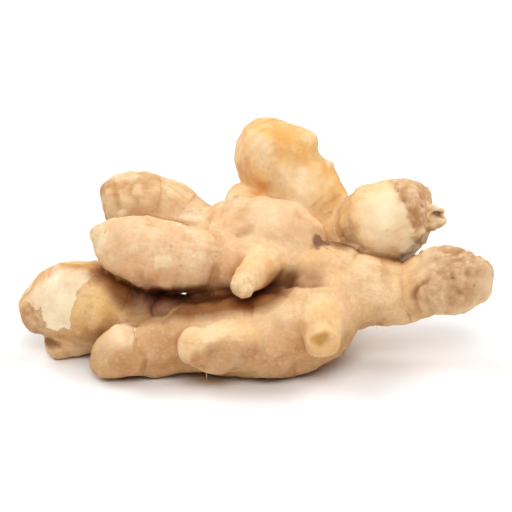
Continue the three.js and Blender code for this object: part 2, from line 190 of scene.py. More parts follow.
def to_finger(finger, at, with_round=False):
    """Distance to one finger, how far along it, and how far round it in millimetres of skin.
    Far from the finger the distance to its box stands in for it."""
    outside = np.maximum(np.maximum(finger["low"] - at, at - finger["high"]), 0)
    whole_best = np.sqrt((outside * outside).sum(1))
    close = whole_best < FAR
    results = [whole_best, np.zeros(len(at)), np.zeros(len(at))]
    at = at[close]
    best = np.full(len(at), np.inf)
    along = np.zeros(len(at))
    round_it = np.zeros(len(at))
    for a, b, reach, length, start in zip(
        finger["points"][:-1], finger["points"][1:], finger["reach"], finger["piece_length"], finger["start"]
    ):
        off = at - a[:3]
        share = np.clip(off @ reach / length**2, 0, 1)
        off = off - share[:, None] * reach
        gap = np.sqrt((off * off).sum(1)) - a[3] - share * (b[3] - a[3])
        nearer = gap < best
        best = np.where(nearer, gap, best)
        along = np.where(nearer, start + share * length, along)
        if with_round:
            side = np.cross(reach / length, finger["up"])
            side = side / np.linalg.norm(side)
            above = np.cross(side, reach / length)
            turn = np.arctan2(off @ side, off @ above)
            round_it = np.where(nearer, turn * (a[3] + b[3]) / 2, round_it)
    for result, value in zip(results, (best, along, round_it)):
        result[close] = value
    return results


def skin(at, details=False):
    """Distance to the skin; with details also each finger's own distance, along and round."""
    x, y, z = at.T
    wave = 0.9 * np.sin(0.35 * x + 0.4 * y - 0.3 * z)
    distance = None
    kept = []
    for finger in FINGERS:
        gap, along, round_it = to_finger(finger, at, details)
        ring = np.sqrt(np.abs(np.sin(np.pi * (along + wave) / finger["ring"])))
        own = gap + RING_DEPTH * (0.8 - ring)
        if "cut" in finger:
            cut = finger["cut"]
            over = (at - np.array(cut["at"])) @ np.array(cut["facing"])
            own = smooth_maximum(own, over, cut["soft"])
        root_share = np.minimum(along / (FLOW_REACH * finger["length"]), 1)
        softness = CREASE + (finger["flow"] - CREASE) * (1 - root_share * root_share * (3 - 2 * root_share))
        distance = own if distance is None else smooth_minimum(distance, own, softness)
        kept.append((own, along, round_it, (along + wave) / finger["ring"]))
    for cx, cy, cz, radius in HOLLOWS:
        inside = radius - np.linalg.norm(at - np.array([cx, cy, cz]), axis=1)
        distance = smooth_maximum(distance, inside, HOLLOW_EDGE)
    distance = distance - LUMPS * lumps(x, y, z)
    return (distance, [np.array(v) for v in zip(*kept)]) if details else distance


def slope(at):
    """Distance to the skin, and how it changes along x, y and z."""
    here = skin(at)
    step = 0.05
    found = np.stack([skin(at + step * axis) - here for axis in np.eye(3)], axis=1) / step
    return here, found


# %% [markdown]
# Everything uneven on a root needs a noise that is smooth, has no direction and is the same on each run.
# This one gives each corner of a cubic lattice a number from its own coordinates and blends between the
# corners. Several sizes of it are added together for a rougher one.


# %% Noise
def hashed(i, j, k, seed):
    """A number from -1 to 1 for each lattice corner, always the same for the same corner."""
    n = (i * 374761393 + j * 668265263 + k * 1274126177 + seed * 974711) & 0xFFFFFFFF
    n = ((n ^ (n >> 13)) * 1103515245) & 0xFFFFFFFF
    n = ((n ^ (n >> 16)) * 2246822519) & 0xFFFFFFFF
    return ((n ^ (n >> 15)) & 0xFFFFFF) / 0x7FFFFF - 1


def noise(at, size, seed=0):
    """Smooth noise from -1 to 1. size is the lattice's step, one number or one for each axis."""
    place = at / np.array(size)
    corner = np.floor(place).astype(np.int64)
    t = place - corner
    t = t * t * t * (t * (6 * t - 15) + 10)
    total = 0
    for dx in (0, 1):
        for dy in (0, 1):
            for dz in (0, 1):
                share = np.abs(1 - dx - t[:, 0]) * np.abs(1 - dy - t[:, 1]) * np.abs(1 - dz - t[:, 2])
                total = total + share * hashed(corner[:, 0] + dx, corner[:, 1] + dy, corner[:, 2] + dz, seed)
    return total


def rough(at, size, seed=0, octaves=3):
    """Noise of several sizes added together, each half as large and half as strong as the last."""
    return sum(noise(at, np.array(size) / 2**n, seed + n) / 2**n for n in range(octaves)) / 1.6


def spots(at, size, seed=0):
    """Distance to the nearest of one random point in each cell of a lattice, as a share of the cell."""
    place = at / size
    corner = np.floor(place).astype(np.int64)
    best = np.full(len(at), 9.0)
    for dx in (-1, 0, 1):
        for dy in (-1, 0, 1):
            for dz in (-1, 0, 1):
                cell = corner + np.array([dx, dy, dz])
                point = [0.5 + 0.45 * hashed(*cell.T, seed + n) for n in range(3)]
                best = np.minimum(best, np.linalg.norm(cell + np.stack(point, axis=1) - place, axis=1))
    return best


# %% [markdown]
# The fine body starts as a copy of the CAD solid. A voxel remesh gives it small even faces, and each
# vertex is then moved onto the skin along the way the distance changes, so that creases and ring scars
# come out sharp. Where the root's weight presses it on the table it is flat, as in the CAD solid.

# %% The fine body
VOXEL = 0.00063  # in metres, small enough for the warts and coarse enough for under 200,000 triangles
TOUCHING = 2e-6  # vertices of the CAD solid this close are one
MOVES = 3
GENTLEST_SLOPE = 0.3  # in a sharp crease the distance hardly changes, and the move would be too long
LONGEST_MOVE = 0.6


def evaluated(thing):
    """The mesh that an object's modifiers make."""
    bpy.context.view_layer.update()
    return bpy.data.meshes.new_from_object(thing.evaluated_get(bpy.context.evaluated_depsgraph_get()))


def placed(name, data):
    """A new object in the scene."""
    thing = bpy.data.objects.new(name, data)
    bpy.context.scene.collection.objects.link(thing)
    return thing


merged = bmesh.new()
merged.from_mesh(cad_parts["rhizome"].data)
bmesh.ops.remove_doubles(merged, verts=merged.verts, dist=TOUCHING)
body_mesh = bpy.data.meshes.new("ginger_body")
merged.to_mesh(body_mesh)
merged.free()
body = placed("ginger_body", body_mesh)
remesh = body.modifiers.new("remesh", "REMESH")
remesh.mode = "VOXEL"
remesh.voxel_size = VOXEL
fine = evaluated(body)
body.modifiers.clear()
body.data = fine
bpy.data.meshes.remove(body_mesh)
count = len(fine.vertices)
flat = np.zeros(count * 3, np.float32)
fine.vertices.foreach_get("co", flat)
rows = flat.reshape(-1, 3).astype(float) * 1000 + MIDDLE
for turn in range(MOVES):
    gap, change = slope(rows)
    steep = np.maximum((change**2).sum(1), GENTLEST_SLOPE)
    move = np.clip(gap / steep, -LONGEST_MOVE, LONGEST_MOVE)
    rows = rows - move[:, None] * change
gap = skin(rows)
print(count, "vertices,", sum(len(p.vertices) - 2 for p in fine.polygons), "triangles, off the skin at most",
      round(float(np.abs(gap).max()), 3), "mm")

# %% [markdown]
# At the bottom of a ring scar the distance changes along the finger, not away from it. So the direction
# in which relief is added is read from the mesh and averaged with the neighbours, as is everything that
# a single odd vertex could turn into a dark dot.

# %% Which way is outward
ends = np.zeros(len(fine.edges) * 2, np.int32)
fine.edges.foreach_get("vertices", ends)
ends = ends.reshape(-1, 2)
edge_count = np.bincount(ends.ravel(), minlength=count)


def evened(values, times):
    """Values averaged with those of the neighbouring vertices."""
    for _ in range(times):
        total = np.bincount(ends[:, 0], values[ends[:, 1]], count)
        total += np.bincount(ends[:, 1], values[ends[:, 0]], count)
        values = 0.5 * values + 0.5 * total / edge_count
    return values


def store(rows):
    """Moves the fine body's vertices to these rows."""
    fine.vertices.foreach_set("co", ((rows - MIDDLE) / 1000).astype(np.float32).ravel())
    fine.update()


store(rows)
flat = np.zeros(count * 3, np.float32)
fine.vertices.foreach_get("normal", flat)
outward = np.stack([evened(axis, 2) for axis in flat.reshape(-1, 3).astype(float).T], axis=1)
outward = outward / (np.linalg.norm(outward, axis=1)[:, None] + 1e-9)

# %% [markdown]
# On the real root each look has its own place. The tall finger is waxy orange, the long one pinkish, the
# left lobe has lost its skin on one side of a ring scar, the right knob and the broken lobe are corky.
# These places are kept on the vertices as masks, one number from 0 to 1 for each look, so that the relief
# and the colours can both read them.

# %% Masks for the places
distance, (own, along, round_it, phase) = skin(rows, details=True)
nearest = own.argmin(0)
everyone = np.arange(count)
second = np.sort(own, axis=0)[1] - own[nearest, everyone]
facing = np.array([0.05, -0.88, 0.47])
towards_front = outward @ (facing / np.linalg.norm(facing))
x, y, z = rows.T

LONG = "long axis, from the right knob through the neck to the left tip"
NUB = "nub at the left tip of the long axis"
TOP = "top finger"
TOP_END = "end of the top finger, above its fold"
CORNER = "torn corner of the top finger"
LEFT = "left lobe"
RIGHT = "right lobe"
UPPER_SPLINTER = "upper splinter of the right lobe's stem"
LOWER_SPLINTER = "lower splinter of the right lobe's stem"
DOME = "middle dome"
SHOULDER = "shoulder behind the dome"
BACK_LEFT = "back left finger"
FRONT = "front finger"
BRANCH = "worn branch on the front finger"
STUB = "stub with the hollow end"
BUD = "short bud under the long axis"
DARK_BUD = "dark bud in the gap"

# A dab's soft edge and how far it wavers, as shares of its radius
DAB_SOFT = 1.3
DAB_WAVER = 0.35


def nearer_by(*names):
    """How many millimetres nearer these fingers are than all others."""
    chosen = [NAMES[name] for name in names]
    return np.delete(own, chosen, axis=0).min(0) - own[chosen].min(0)


def part(*names, soft=1.5):
    """How far a vertex belongs to these fingers."""
    return smoothstep(-soft, soft, nearer_by(*names))


def away_from(place):
    return np.linalg.norm(rows - np.array(place, float), axis=1)


def dab(place, radius, soft=None, waver=0.0, size=3.0, seed=0):
    """1 near a place on the root, falling softly to 0 about a radius away from it."""
    soft = radius if soft is None else soft
    away = away_from(place)
    if waver:
        away = away + waver * rough(rows, size, seed)
    return 1 - smoothstep(radius - soft / 2, radius + soft / 2, away)


def dabs(rows_of_dabs):
    """Several dabs together, each a place, a radius and a strength."""
    total = np.zeros(count)
    for index, (place, radius, strength) in enumerate(rows_of_dabs):
        spot = dab(place, radius, DAB_SOFT * radius, DAB_WAVER * radius, radius, 200 + index)
        total = np.maximum(total, strength * spot)
    return total


def inside_ball(place, radius, waver=0.0, size=3.0, seed=0):
    """Millimetres inside a ball, less than 0 outside it, with an edge that wavers over the skin."""
    return radius - away_from(place) + waver * rough(rows, size, seed)


def beyond(normal, offset, waver=0.0, size=4.0, seed=0):
    """Millimetres beyond a plane, with an edge that wavers over the skin."""
    return rows @ np.array(normal) - offset + waver * rough(rows, size, seed)


def to_line(points):
    """Distance to a line of points that runs over the skin, and the share of the way along it."""
    best = np.full(count, np.inf)
    share = np.zeros(count)
    points = np.array(points, float)
    for index, (a, b) in enumerate(zip(points[:-1], points[1:])):
        t = np.clip((rows - a) @ (b - a) / ((b - a) @ (b - a)), 0, 1)
        away = np.linalg.norm(rows - a - t[:, None] * (b - a), axis=1)
        share = np.where(away < best, (index + t) / (len(points) - 1), share)
        best = np.minimum(best, away)
    return best, share


def over_cut(name):
    """Millimetres past the plane on which a finger was cut or has worn flat; about 0 on its face."""
    cut = FINGERS[NAMES[name]]["cut"]
    return (rows - np.array(cut["at"])) @ np.array(cut["facing"]) - LUMPS * lumps(x, y, z)


slow = rough(rows, 14.0, 3)
mottle = rough(rows, 6.0, 4)

# %% [markdown]
# Where the papery skin has torn off, smooth pale flesh shows and the skin ends in a ragged edge. An edge
# painted straight from a mask on the vertices would be as coarse as the mesh. So the vertices only carry
# the distance to the edge in millimetres, and the shader cuts it off sharply after adding a fine noise.

# %% Where the skin is torn off
upper_edge = beyond((-0.637, 0, 0.771), 51.6, 2.0, 3.6, 11)
lower_edge = beyond((-0.982, 0, 0.189), 56.6, 2.0, 3.6, 14)
left_peel = np.minimum.reduce([
    np.maximum(upper_edge, lower_edge),
    beyond((0, 0, 1), 11.5, 2.0, 3.0, 15),
    14 * (towards_front - 0.42) + 2.4 * rough(rows, 4.0, 12),
    -inside_ball((-66.6, -4.4, 13.8), 5.0, 1.4, 3.0, 13),
    nearer_by(LEFT) + 0.6,
])
right_cap_edge = beyond((0.894, 0, 0.447), 59.7, 1.7, 3.5, 21)
small_flakes = np.maximum.reduce([
    inside_ball((-33.4, -7.6, 25.4), 1.6, 1.6, 1.3, 40),
    inside_ball((-36.0, -6.4, 25.0), 1.1, 1.4, 1.1, 46),
    inside_ball((-12.0, -10.3, 36.1), 0.9, 1.5, 1.2, 47),
])
peeled_mm = np.maximum(left_peel, small_flakes)
peeled_mm = np.clip(peeled_mm, -4, 4)
peeled = smoothstep(-0.35, 0.35, peeled_mm)
print("share of the skin torn off", round(float(peeled.mean()), 3))

# %% [markdown]
# Most looks have no sharp edge on the real root: the cork thins out, the waxy film fades, a worn face
# has a soft rim. Their masks are made from which finger a vertex belongs to, how far it is from a place,
# and which way it faces, with some noise so that no edge is a circle or a straight line.

# %% Masks that fade
top = part(TOP, TOP_END, CORNER)
lobe_cap = part(RIGHT) * smoothstep(-0.2, 0.5, right_cap_edge)
cap_line = 1 - smoothstep(0.15, 0.9, np.abs(right_cap_edge - 0.2))
cap_line = part(RIGHT) * cap_line * smoothstep(-0.4, 0.2, rough(rows, 3.0, 23)) * smoothstep(37, 40, z)
# Painted light: the lower part of the right lobe's cap is made paler.
painted_light_low_on_cap = 0.6 * lobe_cap * smoothstep(44, 37, z)
cap_shreds = dab((47.0, 3.2, 35.8), 4.8, 2.0, 1.0, 2.0, 24)
splinters = part(UPPER_SPLINTER, LOWER_SPLINTER, soft=0.8)
stem_gap, _ = to_line([(54.0, 7.9, 42.8), (57.4, 8.7, 42.0)])
stem_gap = 1 - smoothstep(0.3, 1.1, stem_gap + 0.5 * rough(rows, 1.6, 19))
cap = np.clip(lobe_cap + splinters, 0, 1)
lobe_face = part(RIGHT) * dab((42.0, 3.0, 42.0), 9.5, 9.0, 1.5, 6, 22) * (1 - cap)
knob = part(LONG) * dab((61.5, -9, 28.5), 13.0, 6.0, 3.0, 5, 31)
bruise = 0.7 * dab((59.5, -13.6, 26.4), 5.0, 6.0, 3.2, 2.6, 32) * knob
bruise = np.maximum(bruise, 0.5 * knob * smoothstep(0.0, 0.6, rough(rows, 2.8, 35)))
knob_rim = knob * smoothstep(0.25, 0.8, outward @ np.array([0.8, -0.25, -0.55]))
nub = part(LEFT) * dab((-66.6, -4.2, 13.8), 5.4, 2.4, 1.4, 3, 13)

worn = part(BRANCH, soft=2.5) * smoothstep(-1.5, -0.2, over_cut(BRANCH) + 0.8 * rough(rows, 4.0, 43))
worn_rim = part(BRANCH, soft=2.5) * smoothstep(2, -14, x) * (1 - worn)
stub = part(STUB, soft=2.0) * smoothstep(-20, -28, y)
stub_end = part(STUB, soft=2.0) * smoothstep(-1.6, -0.6, over_cut(STUB))
hollow = dab((18.4, -29.7, 18.1), 2.4, 1.9, 1.1, 2, 44)
stub_rim = stub_end * (1 - hollow)
bud_tip = part(BUD, soft=2.0) * smoothstep(-15, -20.5, y)
warts = part(BACK_LEFT) * smoothstep(-24, -36, x + 5 * slow)
dark_bud = part(DARK_BUD, soft=0.8)
neck = dab((11.0, -8, 29), 10, 7) * part(LONG, soft=2)
film = part(LEFT, soft=2) * smoothstep(-0.6, -0.1, outward[:, 1] + 0.2 * mottle) * smoothstep(8, 16, z)
arc_away = away_from((12.0, 17.0, 50.0)) + 1.0 * rough(rows, 6.0, 66)
arcs = (0.5 + 0.5 * np.sin(2 * math.pi * arc_away / 2.6)) * top * smoothstep(8.0, 11.0, arc_away)
arcs = arcs * smoothstep(14, 5, x) * smoothstep(-1.0, 0.1, rough(rows, 5.0, 67))
print("mean of knob", round(float(knob.mean()), 3), "lobe cap", round(float(lobe_cap.mean()), 3), "worn",
      round(float(worn.mean()), 3))

# %% [markdown]
# Some shade on a root is painted into its colour, painted shade that stays there in any light: in the gap
# under the long finger, in the crease under the neck, at the web and behind the dome. It could be left to
# the lights, but they fill these gaps more than on the real root. Bare patches are the opposite, skin
# rubbed thin.
# The two here end in a split, so their masks rise in less than a millimetre there. The shade under the
# neck ends along lines that are level in the photo, so its mask reads a point's height in the photo's own
# view, from 20 degrees above level. Like every mask it is fixed to the root and doesn't follow the camera.

# %% Shade and bare patches
under_long, _ = to_line([(-35, -8, 24), (-27, -9, 24.5), (-18, -11, 24), (-8, -13, 25), (-1, -12, 25.5)])
PHOTO_SLANT = math.radians(20)
height_in_photo = math.cos(PHOTO_SLANT) * z + math.sin(PHOTO_SLANT) * y
# Painted shade in the crease under the neck.
painted_neck_shade = smoothstep(0.5, 3.0, x) * smoothstep(23, 17, x) * smoothstep(-17, -14, y) * smoothstep(34, 31, z)
painted_neck_shade = painted_neck_shade * smoothstep(20.7, 21.3, height_in_photo + 0.3 * rough(rows, 2.0, 26))
painted_neck_shade = painted_neck_shade * smoothstep(30.0, 21.5, height_in_photo + 1.2 * rough(rows, 3.0, 27))
# Painted shade, multiplied into the colour in the gaps and creases named above.
painted_gap_shade = np.maximum.reduce([
    1 - smoothstep(0.7, 4.2, under_long),
    0.62 * painted_neck_shade,
    0.9 * dab((-31.0, -7.2, 22.2), 3.0, 2.6),
    0.7 * dab((-30.6, -10.0, 19.6), 1.8, 1.8),
    dab((25.2, 3.4, 35.0), 3.8, 3.8),
])
scuff = smoothstep(-29.9, -29.3, x + 0.3 * rough(rows, 1.5, 28)) * smoothstep(-22.0, -28.0, x)
scuff = scuff * smoothstep(32.8, 33.8, z + 0.6 * rough(rows, 2.0, 29)) * smoothstep(37.4, 36.4, z) * (y < 0)
split = x - 0.15 * (z - 15) + 0.3 * rough(rows, 1.5, 30)
tip_patch = smoothstep(-46, -38, x) * smoothstep(-35.2, -35.9, split)
tip_patch = tip_patch * smoothstep(11.0, 14.5, z) * smoothstep(19.5, 17.5, z) * part(FRONT)
tip_patch = tip_patch * smoothstep(-12.5, -15.5, y)
print("mean of gloom", round(float(painted_gap_shade.mean()), 3), "bare patches",
      round(float((scuff + tip_patch).mean()), 4))

# %% [markdown]
# Fresh skin is tan. It is orange on the young top finger and the left lobe, pink on the long finger and
# the dome, and nearly cream where it is rubbed or stretched. Dabs of different sizes carry the patches
# that belong to one place only. Most places of dabs, pits, ridges and grooves were picked in the photo
# and then worked out on the skin below that point of the picture.

# %% Warm, pink and pale
warm = np.clip(
    0.9 * top
    + 0.75 * part(LEFT) * smoothstep(-36, -44, x + 3 * mottle)
    + 0.4 * part(LEFT)
    + 0.15 * part(BACK_LEFT)
    + 0.45 * part(SHOULDER)
    + 0.3 * part(RIGHT)
    + 0.3 * part(STUB, BRANCH)
    + 0.3 * slow,
    0, 1,
)
band, _ = to_line([(1.8, 18.4, 45.6), (0.3, 19.9, 49), (1.2, 18, 53.4)])
upper_band, _ = to_line([
    (7.6, 22.5, 63.6), (9.8, 19.8, 60.5), (13.4, 19.3, 57.5), (17.1, 19.7, 55.1), (20.3, 20.9, 53.2),
])
band = np.maximum(1 - smoothstep(0, 4.5, band + mottle), 1 - smoothstep(0.5, 5.5, upper_band + mottle))
band = np.maximum(band, 0.9 * arcs)
pink = np.clip(
    0.85 * part(LONG, NUB) * smoothstep(6, -10, x)
    + 0.8 * part(DOME)
    + 0.3 * part(FRONT)
    + 0.4 * knob
    + 0.35 * slow,
    0, 1,
)
# Several of these dabs are painted light: the four large ones on the face of the top finger brighten it, and
# the small one at (-26.2, -13.4, 22.0) is a painted highlight on the dark bud. The rest are pale skin.
PALE_AND_LIGHT_DABS = [
    ((-47.6, -5.0, 40.4), 3.2, 0.9),
    ((23.4, 25.4, 53.2), 1.6, 0.9),
    ((51.0, -12.4, 22.4), 3.0, 0.9),
    ((53.0, -13.0, 19.6), 3.4, 0.7),
    ((12.0, 16.0, 51.0), 6.0, 0.6),
    ((15.0, 14.0, 46.0), 6.0, 0.6),
    ((1.8, 18.1, 59.7), 4.0, 0.6),
    ((-44.0, -20.5, 12.0), 3.0, 0.5),
    ((-44.0, -21.5, 9.0), 4.5, 0.5),
    ((-22.6, -1.0, 42.8), 3.0, 0.5),
    ((-21.2, 15.2, 38.3), 4.0, 0.7),
    ((-16.4, 15.2, 38.0), 3.0, 0.6),
    ((-44.7, 15.6, 42.0), 4.0, 0.4),
    ((13.4, 16.0, 50.0), 6.0, 0.45),
    ((27.0, 0.0, 34.6), 5.0, 0.3),
    ((35.2, -7.0, 29.0), 7.0, 0.35),
    ((51.4, -8.0, 33.5), 5.0, 0.35),
    ((-16.4, -12.0, 34.8), 5.0, 0.35),
    ((-62.6, -4.6, 5.6), 3.5, 0.6),
    ((-26.2, -13.4, 22.0), 1.3, 0.5),
    ((2.0, 5.0, 44.0), 5.0, 0.3),
    ((-8.7, 22.0, 43.4), 2.2, 0.8),
]
pale_and_painted_light = np.clip(
    dabs(PALE_AND_LIGHT_DABS)
    + 0.8 * scuff
    + 0.4 * part(BACK_LEFT)
    + 0.5 * tip_patch
    + 0.7 * cap_shreds
    + 0.9 * lobe_face
    # Painted light: the lower part of the right lobe's cap is made paler.
    + 0.7 * lobe_cap * smoothstep(44, 36, z)
    + 0.7 * splinters
    + 0.5 * worn_rim
    + 0.2 * stub * (1 - stub_end)
    + 0.5 * bud_tip
    + 0.75 * knob_rim
    + 0.35 * smoothstep(0.1, 0.6, rough(rows, 8.0, 63)),
    0, 1,
)
print("mean of warm", round(float(warm.mean()), 2), "pink", round(float(pink.mean()), 2), "pale_and_painted_light",
      round(float(pale_and_painted_light.mean()), 2))

# %% [markdown]
# Brown gathers where the skin is old or bruised, at the edge of the broken lobe. The same mask holds
# painted shade: the skin is painted browner low on the root, on undersides and low on the neck. Cork is
# what has grown over the breaks: the knob, the cap of the right lobe, the left nub.

# %% Brown, painted shade and cork
# Some of these dabs are painted shade, in gaps and on skin under overhangs; the others are brown blotches.
BROWN_AND_SHADE_DABS = [
    ((-48.0, -1.0, 28.2), 6.0, 0.6),
    ((-38.6, -8.6, 22.6), 4.5, 0.8),
    ((-36.4, -8.2, 19.8), 3.0, 0.6),
    ((-42.7, -12.0, 15.4), 2.5, 0.5),
    ((14.6, 2.1, 40.6), 5.0, 0.35),
    ((18.4, 3.0, 37.6), 4.0, 0.8),
    ((27.6, 7.0, 38.5), 3.0, 0.4),
    ((29.0, 9.5, 36.5), 4.0, 0.3),
    ((61.0, -7.9, 35.6), 3.5, 0.6),
    ((43.4, 5.0, 48.0), 2.0, 0.5),
    ((46.2, 1.4, 41.5), 2.0, 0.5),
    ((-45.2, 18.4, 46.4), 4.0, 0.2),
    ((-30.0, 16.0, 39.0), 6.0, 0.3),
    ((15.8, -13.4, 28.0), 4.0, 0.35),
    ((48.6, -10.4, 18.4), 4.0, 0.4),
    ((-50.0, -1.0, 29.0), 5.0, 0.7),
    ((47.0, -10.8, 23.4), 1.8, 0.8),
    ((-4.0, 6.2, 43.6), 3.0, 0.5),
    ((-2.6, 0.4, 40.6), 2.0, 0.45),
    ((-24.0, -18.0, 19.4), 5.0, 0.6),
    ((-30.8, -22.8, 12.0), 7.0, 0.35),
    ((-41.0, -9.0, 23.6), 4.5, 0.6),
]
brown_and_shade = np.clip(
    dabs(BROWN_AND_SHADE_DABS)
    # Painted shade: browner low on the neck, towards the bottom of the front finger, left lobe and worn
    # branch, and on undersides.
    + 0.7 * neck * smoothstep(33, 28, z)
    + 0.12 * stub
    + 0.9 * cap_line
    + 0.4 * bud_tip * smoothstep(0.1, 0.5, noise(rows, 0.9, 93))
    + 0.5 * dab((13.4, -25.4, 19.4), 2.0, 2.4)
    + 0.8 * dark_bud
    + 0.95 * smoothstep(24, 7, z + 3 * slow) * part(FRONT, LEFT, BRANCH, soft=3) * (1 - worn_rim)
    + 0.35 * smoothstep(0.3, -0.6, outward[:, 2])
    + 0.35 * smoothstep(0.15, 0.7, rough(rows, 10.0, 64)) * (1 - 0.8 * part(TOP, TOP_END, BACK_LEFT, RIGHT)),
    0, 1,
)
cork = np.maximum.reduce([lobe_cap * (1 - splinters), knob, 0.4 * warts, 0.8 * nub])
cork = np.clip(cork * (1 - 0.7 * knob_rim), 0, 1)
print("mean of brown", round(float(brown_and_shade.mean()), 2), "cork", round(float(cork.mean()), 2))

# %% [markdown]
# Ring scars run round each finger where scale leaves grew. The skin of one step overlaps the next a
# little, like the cuff of a sleeve, so each scar is a low step: high before it, low behind it. Between the
# scars fine wrinkles run along the finger. They are made from the distances along and round the finger and
# fade where two fingers meet, because their directions disagree there.

# %% Scars and wrinkles
STEP_WIDTH = 1.3
along_here = along[nearest, everyone]
round_here = round_it[nearest, everyone]
grain = np.stack([along_here, round_here, 20.0 * nearest], axis=1)
turns = phase[nearest, everyone] + 0.1 * noise(grain, (9.0, 5.0, 1.0), 71)
turns += 0.16 * noise(grain, (30, 30, 1), 72)
ring_size = np.array([finger["ring"] for finger in FINGERS], float)[nearest]
step_share = turns - np.floor(turns)
fall = STEP_WIDTH / ring_size
apart = smoothstep(0.4, 3.0, second)
strength = smoothstep(-0.5, 0.4, rough(rows, 12.0, 73)) * (1 - 0.8 * peeled) * (1 - 0.7 * lobe_face)
strength = strength * (1 - 0.8 * cork) * (1 - 0.9 * part(BRANCH, STUB, BUD, NUB, CORNER, soft=2.5))
strength = strength * (1 - 0.95 * dab((28, -13, 22), 9, 5)) * (1 - 0.7 * dab((46.5, -4, 33), 8, 6))
strength = strength * (1 - 0.45 * part(LONG) * smoothstep(6, -6, x))
cuff = (step_share * (1 - smoothstep(1 - fall, 1, step_share)) - 0.45) * strength * apart
bulge = np.sin(math.pi * step_share) ** 2 * strength * apart
wrinkle = noise(grain, (9.0, 1.5, 1.0), 74) + 0.6 * noise(grain, (6.0, 1.0, 1.0), 75)
wrinkle = wrinkle * apart * smoothstep(-0.3, 0.5, rough(rows, 8.0, 76)) * (1 - cork) * (1 - 0.8 * peeled)
neck_lines = neck * np.sin(2 * math.pi * (along_here + 0.9 * rough(rows, 4, 77)) / 2.3)
neck_lines = neck_lines * smoothstep(-0.6, 0.4, rough(rows, 3.0, 79))

# %% [markdown]
# Cork is the crust that grows over a break: lumps of one to three millimetres with pores between them.
# Smooth noise alone looks like dough, so the lumps are cells with round tops and narrow gaps, laid over a
# rougher noise. Pits are the few deep holes that a step away still shows.

# %% Cork, warts and pits
cells = spots(rows + 0.5 * np.stack([noise(rows, 1.8, 85 + n) for n in range(3)], axis=1), 2.3, 81)
crust = 0.55 * (0.5 - cells) + 0.5 * rough(rows, 2.6, 80, 2)
big_cells = spots(rows + 0.8 * np.stack([noise(rows, 3.0, 95 + n) for n in range(3)], axis=1), 5.2, 84)
wart_bumps = smoothstep(0.7, 0.15, big_cells)
pores = smoothstep(0.30, 0.16, spots(rows, 2.4, 82) + 0.1 * noise(rows, 1.2, 83))
pores = pores * np.clip(0.8 * knob + cap + 0.4 * warts, 0, 1) * smoothstep(0.0, 0.5, rough(rows, 5.0, 96))

PITS = [
    ((-44.4, -6.1, 41.5), 0.4),
    ((-21.9, -12.8, 33.6), 0.35),
    ((-24.8, -11.1, 39.2), 0.35),
    ((-7.1, 20.5, 43.6), 0.9),
    ((57.6, -13.5, 30.1), 0.55),
    ((60.4, -14.2, 25.4), 0.5),
    ((49.4, 4.8, 46.0), 0.7),
    ((49.3, 3.6, 38.0), 0.7),
    ((64.0, -13.0, 27.6), 0.5),
    ((53.0, -13.4, 26.5), 0.4),
    ((-2.0, -28.9, 14.0), 0.5),
]
pits = np.zeros(count)
for index, (place, radius) in enumerate(PITS):
    pits = np.maximum(pits, dab(place, radius, 1.6 * radius, 0.6 * radius, 1.0, 300 + index))
scar = dab((18.9, 0.4, 35.6), 2.7, 2.0, 2.4, 1.8, 51)
print(len(PITS), "pits")

# %% [markdown]
# Folds of skin, the curled edge on the knob and the crease under the neck are lines that run over the
# skin. Each is a row of points, a width and a height. It thins out at both ends and wavers a little.


# %% Ridges and grooves
def ridge(points, width, height, seed):
    """A raised line over the skin that thins out towards its ends."""
    away, share = to_line(points)
    taper = np.sqrt(np.clip(4 * share * (1 - share), 0, 1))
    away = away + 0.35 * width * rough(rows, 1.5 * width, seed)
    return height * taper * (1 - smoothstep(0.15 * width, width, away))


RIDGES = [
    ([(12.4, -12.5, 28.6), (11.8, -18, 26), (12.1, -22.5, 22.1), (13.4, -26, 17.5)], 1.2, 0.65),
    ([(15.0, -12.5, 28.8), (14.3, -18, 26.4), (14.6, -22.6, 22.4), (15.4, -26, 18.2)], 1.1, 0.55),
    ([(-26.5, 15.4, 38.8), (-21.2, 15.2, 38.3), (-16, 14.9, 38.2)], 1.6, 0.8),
    ([(-27.0, 19.6, 46.2), (-22, 17.6, 43), (-15.6, 15.8, 40)], 2.6, 0.8),
    ([(-38.7, 19.1, 46.7), (-34, 16.5, 43), (-32.5, 15.6, 40.5)], 3.0, 0.7),
    ([(0.3, 19.4, 48), (1.2, 18.0, 53.4), (4.6, 17.4, 58), (9.8, 19.8, 60.5), (15.6, 19.5, 56)], 2.6, 0.3),
    ([(59.0, -6.6, 36.0), (62.5, -8.0, 35.6), (65.4, -10.5, 33.8)], 1.3, 0.6),
    ([(41.8, 8.1, 50.2), (43.2, 4.7, 48), (46.2, 1.1, 41.5), (47.6, 1.8, 37.5)], 1.3, 0.5),
    ([(52.2, -12.6, 27.6), (49.4, -11.6, 26), (48.2, -11, 23.4), (49, -11.2, 20.7), (50.2, -11.4, 18)],
     1.5, 1.1),
    ([(55.0, -5.6, 35.2), (59.0, -7.4, 36.0), (62.6, -8.6, 35.0), (65.6, -10.6, 33.0)], 1.4, 0.8),
]
